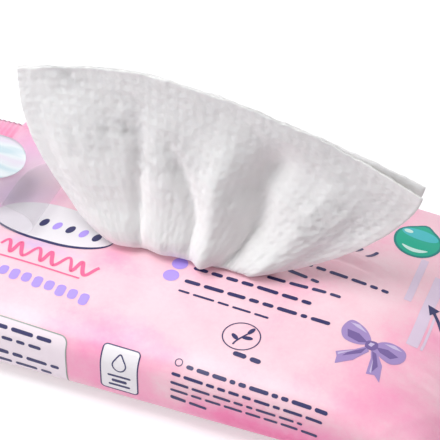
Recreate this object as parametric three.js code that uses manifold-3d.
// A soft travel pack of moist wipes, lying on its back seam, its peel label open and one wipe drawn out.
// Millimetres, +Z up, +X along the pack, origin under the middle of the pack on the surface it lies on.
import * as THREE from "three";
import { mergeVertices } from "three/addons/utils/BufferGeometryUtils.js";
import Module from "manifold-3d";

// Wipes: each sheet is folded in half along its length, then in three panels across.
const sheetLength = 210;
const sheetWidth = 150;
const panelWidth = 60;
const plyThickness = 0.18;
const plyGap = 0.06;
const wipeGap = 0.2;
const wipesLeft = 9;
const looseness = 0.3;

// Film pouch: a tube of film with a fin seam underneath and a crimped seal across each end.
const endRoom = 17.5;
const sideRoom = 9;
const headRoom = 3.6;
const sealWidth = 9;
const sealHeight = 5;
const sectionPower = 4;
const endPower = 6;
const endRoundness = 1.6;
const bottomRisePower = 9;
const filmThickness = 0.3;
const crimpPitch = 1.5;
const crimpDepth = 0.3;
const finWidth = 12;
const finThickness = 0.35;
const finRecess = 1;
const recessWidth = 12;
const settleDepth = 0.38;

// Gathers where the film narrows to its end seals, and one crease pulled up beside the opening.
const gatherPitch = 15;
const gatherDepth = 0.5;
const creaseGap = 7;
const creaseRise = 6;
const creaseLength = 19;
const creaseTurn = 0.2;
const creaseHeight = 0.9;
const creaseWidth = 3;

// Die-cut opening in the top film, and the clear peel label that closes it.
const openingLength = 47;
const openingWidth = 17;
const openingX = -3.5;
const openingY = 3;
const labelMargin = 5.5;
const labelHold = 10;
const labelEndMargin = 10;
const labelCorner = 8;
const tabLength = 8;
const tabWidth = 14;
const labelThickness = 0.25;
const plugClearance = 0.4;
const bendRadius = 3.5;
const bendAngle = 2.9;
const droopAngle = 0.6;
const plugLag = 6.75;

// The drawn wipe: a neck gathered in the opening, then a fan that opens above it.
const neckMarginLeft = 6;
const neckMarginRight = 3;
const neckForward = 2;
const neckTurn = 3.5;
const neckTurnShare = 0.35;
const neckDepth = 3;
const outsideHeight = 56;
const fanStretch = 0.82;
const fanTaken = 4;
const fanShift = 1.5;
const peakShare = 0.32;
const fanDropLeft = 7.6;
const fanDropRight = 15;
const fanLean = 1.5;
const spillDepth = 4.6;
const spillAtFold = 0.65;
const foldDepthTop = 1.1;
const plySpread = 2.2;
const loftThickness = 0.55;

// Folds of the fan: how far along it from the fold edge, and how far towards the front, 1 to -1.
const fanFolds = [
  [0, 0.1], [0.1, 0.7], [0.2, 0.9], [0.28, -0.1], [0.35, 0.6], [0.43, -0.4], [0.53, 1], [0.66, -1],
  [0.78, 0.8], [0.88, 0], [1, -0.2],
];

// The wipes in the pack set how wide, high and long the film round them is.
const halfSheet = sheetLength / 2;
const doublePly = 2 * plyThickness + plyGap;
const foldRadius = (doublePly + plyGap) / 2;
const foldedHeight = 3 * doublePly + 2 * plyGap;
const stackBottom = filmThickness + finRecess + looseness;
const stackTop = stackBottom + wipesLeft * (foldedHeight + wipeGap);
const bodyHalf = halfSheet / 2 + endRoom;
const bodyWidth = panelWidth + 2 * sideRoom;
const bodyHeight = stackTop + foldedHeight + headRoom;

// The label reaches past the opening all round, and its hinge lies where the cut-out piece clears the bend.
const openingLeft = openingX - openingLength / 2;
const openingRight = openingX + openingLength / 2;
const bendLength = bendRadius * bendAngle;
const peelX = openingLeft + plugClearance - bendLength - plugLag;
const labelStart = peelX - labelHold;
const labelEnd = openingRight + labelEndMargin;
const labelWidth = openingWidth + 2 * labelMargin;
const neckLeft = openingLeft + neckMarginLeft;
const neckRight = openingRight - neckMarginRight;
const fanTop = bodyHeight + fanStretch * outsideHeight;
const fanLeft = fanShift - (halfSheet - fanTaken) / 2;
const fanRight = fanShift + (halfSheet - fanTaken) / 2;
const creaseStart = { x: openingRight + creaseGap, y: openingY + creaseRise };
const creaseEnd = { x: creaseStart.x + creaseLength, y: creaseStart.y - creaseLength * creaseTurn };

const wasm = await Module();
wasm.setup();

const clamp = (value, low, high) => Math.min(high, Math.max(low, value));
const mix = (from, to, share) => from + (to - from) * share;
const spread = (from, to, count) => Array.from({ length: count + 1 }, (_, i) => mix(from, to, i / count));
const smooth = (value) => {
  const t = clamp(value, 0, 1);
  return t * t * (3 - 2 * t);
};

// Closed meshes to solids and back, for the joins and cuts.
function toSolid(geometry) {
  const bare = geometry.index ? geometry.toNonIndexed() : geometry.clone();
  for (const name of Object.keys(bare.attributes)) {
    if (name !== "position") bare.deleteAttribute(name);
  }
  const merged = mergeVertices(bare, 1e-4);
  return new wasm.Manifold(new wasm.Mesh({
    numProp: 3,
    vertProperties: Float32Array.from(merged.attributes.position.array),
    triVerts: Uint32Array.from(merged.index.array),
  }));
}

function toGeometry(solid) {
  const mesh = solid.getMesh();
  const geometry = new THREE.BufferGeometry();
  const points = new Float32Array(mesh.numVert * 3);
  for (let i = 0; i < mesh.numVert; i += 1) {
    for (let k = 0; k < 3; k += 1) points[3 * i + k] = mesh.vertProperties[mesh.numProp * i + k];
  }
  geometry.setAttribute("position", new THREE.BufferAttribute(points, 3));
  geometry.setIndex(Array.from(mesh.triVerts));
  return geometry;
}

function indexed(points, triangles) {
  const geometry = new THREE.BufferGeometry();
  const numbers = points.flatMap((p) => [p.x, p.y, p.z]);
  geometry.setAttribute("position", new THREE.Float32BufferAttribute(numbers, 3));
  geometry.setIndex(triangles);
  return geometry;
}

// Rings of equal count become one closed body, capped by a fan at each end.
function loft(rings) {
  const count = rings[0].length;
  const points = rings.flat();
  const triangles = [];
  for (let r = 0; r + 1 < rings.length; r += 1) {
    for (let i = 0; i < count; i += 1) {
      const a = r * count + i;
      const b = r * count + (i + 1) % count;
      triangles.push(a, b, a + count, b, b + count, a + count);
    }
  }
  const middle = (ring) => ring.reduce((sum, p) => sum.add(p), new THREE.Vector3()).divideScalar(count);
  const first = points.push(middle(rings[0])) - 1;
  const last = points.push(middle(rings.at(-1))) - 1;
  const lastRing = (rings.length - 1) * count;
  for (let i = 0; i < count; i += 1) {
    const j = (i + 1) % count;
    triangles.push(first, j, i, last, lastRing + i, lastRing + j);
  }
  return indexed(points, triangles);
}

// A sheet with thickness, from a map of its middle surface: place(u, v) is a Vector3.
function thickSheet(place, uValues, vValues, thickness) {
  const step = 0.01;
  const normalAt = (u, v) => {
    const alongU = place(u + step, v).sub(place(u - step, v));
    const alongV = place(u, v + step).sub(place(u, v - step));
    return alongU.cross(alongV).normalize();
  };
  const wide = vValues.length;
  const sides = [1, -1].map((side) => uValues.flatMap((u) => vValues.map((v) => {
    const half = side * thickness(u, v) / 2;
    return place(u, v).addScaledVector(normalAt(u, v), half);
  })));
  const points = sides.flat();
  const back = sides[0].length;
  const triangles = [];
  const quad = (a, b, c, d) => triangles.push(a, b, c, a, c, d);
  for (let i = 0; i + 1 < uValues.length; i += 1) {
    for (let j = 0; j + 1 < wide; j += 1) {
      const a = i * wide + j;
      quad(a, a + wide, a + wide + 1, a + 1);
      quad(back + a, back + a + 1, back + a + wide + 1, back + a + wide);
    }
    const low = i * wide;
    const high = low + wide - 1;
    quad(low, back + low, back + low + wide, low + wide);
    quad(high, high + wide, back + high + wide, back + high);
  }
  const end = (uValues.length - 1) * wide;
  for (let j = 0; j + 1 < wide; j += 1) {
    quad(j, j + 1, back + j + 1, back + j);
    quad(end + j, back + end + j, back + end + j + 1, end + j + 1);
  }
  return indexed(points, triangles);
}

// The film's section is a superellipse. Its girth stays that of the full body, so it widens as it flattens.
function quarterSection(halfWidth, halfHeight, samples = 90) {
  const points = [];
  for (let i = 0; i <= samples; i += 1) {
    const angle = (Math.PI / 2) * (i / samples);
    points.push(new THREE.Vector2(
      halfWidth * Math.cos(angle) ** (2 / sectionPower),
      halfHeight * Math.sin(angle) ** (2 / sectionPower),
    ));
  }
  return points;
}

function lengthOf(points) {
  return points.slice(1).reduce((sum, p, i) => sum + p.distanceTo(points[i]), 0);
}

const quarterGirth = lengthOf(quarterSection(bodyWidth / 2, bodyHeight / 2));

function halfWidthFor(halfHeight) {
  let low = 0;
  let high = quarterGirth;
  for (let i = 0; i < 40; i += 1) {
    const middle = (low + high) / 2;
    if (lengthOf(quarterSection(middle, halfHeight)) > quarterGirth) high = middle;
    else low = middle;
  }
  return low;
}

const endShare = (x) => clamp(Math.abs(x) / bodyHalf, 0, 1);
const topHeight = (x) => sealHeight + filmThickness
  + (bodyHeight - sealHeight - filmThickness) * (1 - endShare(x) ** endPower) ** (1 / endRoundness);
const bottomHeight = (x) => (sealHeight - filmThickness) * endShare(x) ** bottomRisePower;

function sectionAt(x) {
  const halfHeight = (topHeight(x) - bottomHeight(x)) / 2;
  return { halfHeight, halfWidth: halfWidthFor(halfHeight), middle: (topHeight(x) + bottomHeight(x)) / 2 };
}

// Height of the film's outer face above a point of the pack.
function filmTop(x, y) {
  const { halfHeight, halfWidth, middle } = sectionAt(x);
  const across = clamp(Math.abs(y) / halfWidth, 0, 1);
  return middle + halfHeight * (1 - across ** sectionPower) ** (1 / sectionPower);
}

// The bottom film lifts along the middle, where the fin seam lies folded under it.
const seamLift = (x, y) => finRecess * Math.exp(-((y / recessWidth) ** 2)) * (1 - endShare(x) ** endPower);

// The filled pack settles, so its underside lies flat on the surface beside the seam.
const settled = (x, height, lowest) => Math.max(lowest, height - settleDepth * (1 - endShare(x) ** endPower));


// Gathers run along the pack and fade into the seal; they are deepest just before it.
function gatherLift(x, y) {
  const share = endShare(x);
  const alongFade = smooth((share - 0.7) / 0.2) * smooth((1 - share) / 0.06);
  const acrossFade = smooth(2 - (4 * Math.abs(y)) / bodyWidth);
  return gatherDepth * alongFade * acrossFade * Math.cos((2 * Math.PI * y) / gatherPitch);
}

function creaseLift(x, y) {
  const along = (x - creaseStart.x) / (creaseEnd.x - creaseStart.x);
  const away = y - mix(creaseStart.y, creaseEnd.y, along);
  const fade = smooth((along + 0.15) / 0.3) * smooth((1.2 - along) / 0.5);
  return creaseHeight * fade * Math.exp(-((away / creaseWidth) ** 2));
}

// Shares of a quarter of the girth, from the side fold to the middle, closer together round the shoulder.
const girthShares = [0, 0.06, 0.11, 0.16, 0.21, 0.27, 0.35, 0.48, 0.61, 0.74, 0.87, 1];

function quarterRing(section, inset) {
  const curve = quarterSection(section.halfWidth - inset, section.halfHeight - inset);
  const total = lengthOf(curve);
  const ring = [];
  let passed = 0;
  let next = 0;
  for (let i = 1; i < curve.length; i += 1) {
    const piece = curve[i].distanceTo(curve[i - 1]);
    while (next < girthShares.length && girthShares[next] * total <= passed + piece + 1e-9) {
      const share = clamp((girthShares[next] * total - passed) / piece, 0, 1);
      ring.push(curve[i - 1].clone().lerp(curve[i], share));
      next += 1;
    }
    passed += piece;
  }
  return ring;
}

function filmRing(x, inset) {
  const section = sectionAt(x);
  const quarter = quarterRing(section, inset);
  const inner = quarter.slice(1, -1);
  const mid = quarter.at(-1);
  const around = [
    quarter[0], ...inner, mid, ...inner.toReversed().map((p) => new THREE.Vector2(-p.x, p.y)),
    new THREE.Vector2(-quarter[0].x, quarter[0].y), ...inner.map((p) => new THREE.Vector2(-p.x, -p.y)),
    new THREE.Vector2(mid.x, -mid.y), ...inner.toReversed().map((p) => new THREE.Vector2(p.x, -p.y)),
  ];
  return around.map((p) => {
    const height = section.middle + p.y;
    const z = p.y < 0
      ? settled(x, height, inset) + seamLift(x, p.x)
      : height + gatherLift(x, p.x) + creaseLift(x, p.x);
    return new THREE.Vector3(x, p.x, z);
  });
}

// Stations along the body, closer together where the ends round down to the seals.
const stationShares = [0, 0.2, 0.37, 0.52, 0.65, 0.75, 0.83, 0.89, 0.935, 0.965, 0.985, 1];
const mirrored = (shares) => [...shares.slice(1).toReversed().map((s) => -s), ...shares];

function endSeal(side) {
  const ridges = Math.round(sealWidth / crimpPitch) * 2;
  const profile = [];
  const waveAt = (i) => (i === 0 || i === ridges ? 0 : (i % 2 ? 1 : -1) * crimpDepth / 2);
  for (let i = 0; i <= ridges; i += 1) profile.push([sealWidth * (i / ridges), waveAt(i) + filmThickness]);
  for (let i = ridges; i >= 0; i -= 1) profile.push([sealWidth * (i / ridges), waveAt(i) - filmThickness]);
  const shape = new THREE.Shape(profile.map(([along, up]) => new THREE.Vector2(along, up)));
  const width = 2 * quarterGirth - 2 * filmThickness;
  const geometry = new THREE.ExtrudeGeometry(shape, { depth: width, bevelEnabled: false });
  geometry.rotateX(Math.PI / 2);
  geometry.translate(0, width / 2, 0);
  if (side < 0) geometry.rotateZ(Math.PI);
  geometry.translate(side * (bodyHalf - filmThickness), 0, sealHeight);
  return geometry;
}

// The back seam: two film edges sealed face to face and laid over to one side.
function finSeam() {
  const foot = finWidth / 2;
  const rootHeight = finRecess + filmThickness / 2;
  const shape = new THREE.Shape([
    new THREE.Vector2(-foot, 0),
    new THREE.Vector2(foot, 0),
    new THREE.Vector2(foot, finThickness),
    new THREE.Vector2(-foot + 2 * finThickness, finThickness),
    new THREE.Vector2(-foot + 2 * finThickness, rootHeight),
    new THREE.Vector2(-foot, rootHeight),
  ]);
  const length = 2 * bodyHalf * 0.84;
  const geometry = new THREE.ExtrudeGeometry(shape, { depth: length, bevelEnabled: false });
  geometry.rotateX(Math.PI / 2);
  geometry.rotateZ(Math.PI / 2);
  geometry.translate(-length / 2, 0, 0);
  return geometry;
}

const openingRadius = openingWidth / 2;
const openingStraight = openingLength / 2 - openingRadius;

function openingShape() {
  const steps = 14;
  const arc = (side) => spread(-1, 1, steps).map((s) => {
    const angle = (s * Math.PI) / 2;
    return new THREE.Vector2(
      openingX + side * (openingStraight + openingRadius * Math.cos(angle)),
      openingY + side * openingRadius * Math.sin(angle),
    );
  });
  return new THREE.Shape([...arc(1), ...arc(-1)]);
}

function filmPouch() {
  const outer = loft(mirrored(stationShares).map((s) => filmRing(s * bodyHalf, 0)));
  const cavityHalf = bodyHalf - 4 * filmThickness;
  const cavity = loft(mirrored(stationShares).map((s) => filmRing(s * cavityHalf, filmThickness)));
  const cutter = new THREE.ExtrudeGeometry(openingShape(), { depth: bodyHeight, bevelEnabled: false });
  cutter.translate(0, 0, bodyHeight / 2 + filmThickness);
  return toGeometry(
    toSolid(outer)
      .add(toSolid(endSeal(1)))
      .add(toSolid(endSeal(-1)))
      .add(toSolid(finSeam()))
      .subtract(toSolid(cavity))
      .subtract(toSolid(cutter)),
  );
}

// The peel label lies on the film up to peelX, rolls back over itself and droops past the pack's end.
function peelPath(distance) {
  const free = distance - (peelX - labelStart);
  if (free <= 0) return { x: labelStart + distance, z: 0, angle: 0 };
  const turned = Math.min(free, bendLength) / bendRadius;
  const x = peelX + bendRadius * Math.sin(turned);
  const z = bendRadius * (1 - Math.cos(turned));
  if (free <= bendLength) return { x, z, angle: turned };
  const rest = free - bendLength;
  const restLength = labelEnd + tabLength - peelX - bendLength;
  const radius = restLength / droopAngle;
  const more = rest / radius;
  return {
    x: x + radius * (Math.sin(bendAngle + more) - Math.sin(bendAngle)),
    z: z + radius * (Math.cos(bendAngle) - Math.cos(bendAngle + more)),
    angle: bendAngle + more,
  };
}

// A point of the label's layers: distance along it, y across it, and its height over the film when closed.
function onLabel(distance, y, height) {
  const path = peelPath(distance);
  const lying = labelStart + Math.min(distance, peelX - labelStart);
  const rest = filmTop(lying, openingY);
  const sag = filmTop(lying, y) - rest;
  const up = height + sag;
  return new THREE.Vector3(
    path.x - up * Math.sin(path.angle),
    y,
    rest + path.z + up * Math.cos(path.angle),
  );
}

const labelHeight = looseness + labelThickness / 2;

function labelHalfWidth(distance) {
  const whole = labelEnd - labelStart;
  const half = labelWidth / 2;
  const corner = (gap) => {
    const short = labelCorner - clamp(gap, 0, labelCorner);
    return half - labelCorner + Math.sqrt(labelCorner ** 2 - short ** 2);
  };
  if (distance <= whole - labelCorner) return corner(distance);
  const tab = (tabWidth / 2) * Math.sqrt(1 - clamp((distance - whole) / tabLength, 0, 0.985) ** 3);
  return Math.max(tab, distance <= whole ? corner(whole - distance) : 0);
}

function peelLabel() {
  const whole = labelEnd - labelStart;
  const lift = peelX - labelStart;
  const bendEnd = lift + bendLength;
  const along = [
    0, labelCorner * 0.12, labelCorner * 0.45, lift, ...spread(lift, bendEnd, 8).slice(1),
    ...spread(bendEnd, whole - labelCorner, 4).slice(1),
    whole - labelCorner * 0.45, whole - labelCorner * 0.12,
    whole, whole + tabLength * 0.15, whole + tabLength * 0.6, whole + tabLength * 0.9, whole + tabLength,
  ];
  const place = (distance, share) => {
    const y = openingY + share * labelHalfWidth(distance);
    return onLabel(distance, y, labelHeight);
  };
  return thickSheet(place, along, spread(-1, 1, 6), () => labelThickness);
}

// The piece cut out of the film stays on the label's sticky side, which faces up when the label is open.
function filmPlug() {
  const reach = openingLength / 2 - plugClearance;
  const radius = openingRadius - plugClearance;
  const start = openingX - labelStart;
  const halfWidth = (x) => Math.sqrt(radius ** 2 - Math.max(0, Math.abs(x) - openingStraight) ** 2);
  const height = labelHeight - labelThickness / 2 - looseness - filmThickness / 2;
  const round = [0.25, 0.5, 0.7, 0.85, 0.95, 0.993].map((s) => openingStraight + s * radius);
  const along = mirrored([0, openingStraight / 2, openingStraight, ...round]).map((x) => start + x);
  const place = (distance, share) => {
    const x = clamp(distance - start, -0.998 * reach, 0.998 * reach);
    return onLabel(distance, openingY + share * halfWidth(x), height);
  };
  return thickSheet(place, along, spread(-1, 1, 4), () => filmThickness);
}

// Where a doubled ply runs: across is the distance over the sheet's width, offset is from its middle line.
const foldLength = Math.PI * foldRadius;
const straight = panelWidth - foldLength;

function foldedLine(across, offset) {
  const half = straight / 2;
  const turn = (centreY, centreZ, side, angle) => {
    const radius = foldRadius - side * offset;
    return [centreY + side * radius * Math.sin(angle), centreZ - radius * Math.cos(angle)];
  };
  if (across < straight) return [-half + across, offset];
  if (across < straight + foldLength) return turn(half, foldRadius, 1, (across - straight) / foldRadius);
  const second = across - straight - foldLength;
  if (second < straight) return [half - second, 2 * foldRadius - offset];
  const third = second - straight;
  if (third < foldLength) return turn(-half, 3 * foldRadius, -1, third / foldRadius);
  return [-half + third - foldLength, 4 * foldRadius + offset];
}

// A sheet folded in half at its left end: u runs from one free end, round the fold at 0, to the other.
function halved(u, separation) {
  const radius = separation / 2;
  const turnLength = (Math.PI / 2) * radius;
  if (Math.abs(u) > turnLength) return { along: Math.abs(u) - turnLength, offset: -Math.sign(u) * radius };
  const angle = u / radius;
  return { along: -radius * Math.cos(angle), offset: -radius * Math.sin(angle) };
}

const foldTurn = (separation, count) => spread(-1, 1, count).map((s) => (s * Math.PI * separation) / 4);

function foldedWipe(level) {
  const separation = plyThickness + plyGap;
  const base = stackBottom + doublePly / 2 + level * (foldedHeight + wipeGap);
  const turnabout = level % 2 ? -1 : 1;
  const place = (u, v) => {
    const { along, offset } = halved(u, separation);
    const [y, z] = foldedLine(v, offset);
    return new THREE.Vector3(turnabout * (along - halfSheet / 2), turnabout * y, base + z);
  };
  const bends = [straight, 2 * straight + foldLength];
  const across = [0, ...bends.flatMap((at) => spread(at, at + foldLength, 4)), sheetWidth];
  return thickSheet(place, [-halfSheet, ...foldTurn(separation, 3), halfSheet], across, () => plyThickness);
}

// The drawn wipe has a panel and a half in the pack. v runs from its end in the pack to its top edge.
const outsideStart = sheetWidth - outsideHeight;
const neckStart = 2 * panelWidth - panelWidth / 2 - openingY;
const secondPanel = stackTop + doublePly + 2 * foldRadius;

const neckShare = (neckStart - outsideStart) / outsideHeight;

function foldOffset(share) {
  const place = clamp(share, 0, 1);
  const next = Math.max(1, fanFolds.findIndex(([at]) => at >= place));
  const [[from, low], [to, high]] = fanFolds.slice(next - 1, next + 1);
  return mix(low, high, smooth((place - from) / (to - from)));
}

// The middle line of the doubled ply above the opening: share runs 0 to 1 from the fold to the free ends.
function fanPoint(share, height) {
  const t = height / outsideHeight;
  const rise = Math.max(t, 0);
  const side = 2 * share - 1;
  const neckX = mix(neckLeft, neckRight, share);
  const neckY = openingY - neckForward - neckTurn * (1 - smooth(share / neckTurnShare));
  const topX = mix(fanLeft, fanRight, share);
  const quickness = mix(2.2, 1.6, smooth(share * 1.3));
  const open = 1 - (1 - Math.min(rise, 1)) ** quickness;
  const slowness = mix(1, side < 0 ? 1 : 1.3, side * side);
  const topZ = fanTop - (share < peakShare
    ? fanDropLeft * ((peakShare - share) / peakShare) ** 1.6
    : fanDropRight * ((share - peakShare) / (1 - peakShare)) ** 1.4);
  const exitZ = bodyHeight + looseness;
  const spillShare = 1 - (side < 0 ? 1 - spillAtFold : 1) * side ** 4;
  const spill = spillDepth * spillShare * Math.exp(-(((rise - 0.1) / 0.1) ** 2));
  const depth = mix(neckDepth, foldDepthTop, smooth(rise / 0.9));
  const middleY = mix(neckY, openingY + fanLean, smooth(rise)) - spill;
  return new THREE.Vector3(
    mix(neckX, topX, open),
    middleY - depth * foldOffset(share),
    t < 0 ? mix(exitZ, secondPanel, t / neckShare) : mix(exitZ, topZ, rise ** slowness),
  );
}

function drawnMiddle(share, v) {
  const along = share * halfSheet - halfSheet / 2;
  const level = stackTop + doublePly;
  if (v < neckStart) {
    const [y, z] = foldedLine(Math.min(v, 2 * panelWidth - foldLength), 0);
    return new THREE.Vector3(along, y, level + z);
  }
  return fanPoint(share, v - outsideStart);
}

function drawnWipe() {
  const blendSpan = 16;
  const middle = (share, v) => {
    const from = neckStart - blendSpan;
    if (v <= from) return drawnMiddle(share, v);
    const t = smooth((v - from) / (2 * blendSpan * 0.7));
    if (v >= neckStart + blendSpan * 0.4) return drawnMiddle(share, v);
    const flat = drawnMiddle(share, Math.min(v, neckStart - 1e-3));
    const up = drawnMiddle(share, Math.max(v, neckStart));
    return flat.lerp(up, t);
  };
  const separationAt = (share, v) => {
    const opened = smooth((v - outsideStart) / outsideHeight);
    return plyThickness + plyGap + opened * plySpread * (0.8 + 0.5 * Math.cos(2 * Math.PI * share));
  };
  const thicknessAt = (u, v) => mix(plyThickness, loftThickness, smooth((v - outsideStart + 4) / 14));
  const normalOf = (share, v) => {
    const step = 0.002;
    const alongU = middle(share + step, v).sub(middle(share - step, v));
    const alongV = middle(share, v + 0.05).sub(middle(share, v - 0.05));
    return alongV.cross(alongU).normalize();
  };
  const place = (u, v) => {
    const foldSeparation = separationAt(0, v) + Math.max(0, thicknessAt(u, v) - plyThickness);
    const { along, offset } = halved(u, foldSeparation);
    const share = clamp(along / halfSheet, 0, 1);
    const radius = foldSeparation / 2;
    const normal = normalOf(share, v);
    if (along > 0) {
      const wide = separationAt(share, v) + Math.max(0, thicknessAt(u, v) - plyThickness);
      return middle(share, v).addScaledVector(normal, (offset / radius) * (wide / 2));
    }
    const tangent = middle(0.002, v).sub(middle(0, v)).normalize();
    return middle(0, v).addScaledVector(tangent, along).addScaledVector(normal, offset);
  };
  const turns = fanFolds.map(([at]) => at);
  const between = turns.slice(1).map((at, i) => (at + turns[i]) / 2);
  const plyShares = [...turns.slice(1), ...between].sort((a, b) => a - b).map((s) => s * halfSheet);
  const fold = foldTurn(plyThickness + plyGap, 2);
  const around = [...plyShares.toReversed().map((s) => -s), ...fold, ...plyShares];
  const foldEnds = [0, 1, 2, 3].map((i) => straight + (i / 3) * foldLength);
  const across = [
    0, ...foldEnds, neckStart - 12, neckStart - 6, neckStart - 1, neckStart + 4,
    ...spread(outsideStart, sheetWidth, 8),
  ];
  return thickSheet(place, around, across, thicknessAt);
}

const printedFilm = new THREE.MeshStandardMaterial({ color: 0xf9c3d8, roughness: 0.38, metalness: 0 });
const filmInside = new THREE.MeshStandardMaterial({ color: 0xe6edf3, roughness: 0.25, metalness: 0.1 });
const clearLabel = new THREE.MeshStandardMaterial({
  color: 0xf2eef2, roughness: 0.12, metalness: 0, transparent: true, opacity: 0.35,
});
const wipeCloth = new THREE.MeshStandardMaterial({ color: 0xf3f2f1, roughness: 0.9, metalness: 0 });

const pack = new THREE.Group();

function addPiece(name, geometry, material) {
  const mesh = new THREE.Mesh(geometry, material);
  mesh.name = name;
  pack.add(mesh);
}

addPiece("film_pouch", filmPouch(), printedFilm);
addPiece("peel_label", peelLabel(), clearLabel);
addPiece("film_plug", filmPlug(), filmInside);
addPiece("drawn_wipe", drawnWipe(), wipeCloth);
for (let level = 0; level < wipesLeft; level += 1) {
  addPiece(`folded_wipe_${level + 1}`, foldedWipe(level), wipeCloth);
}

export default pack;
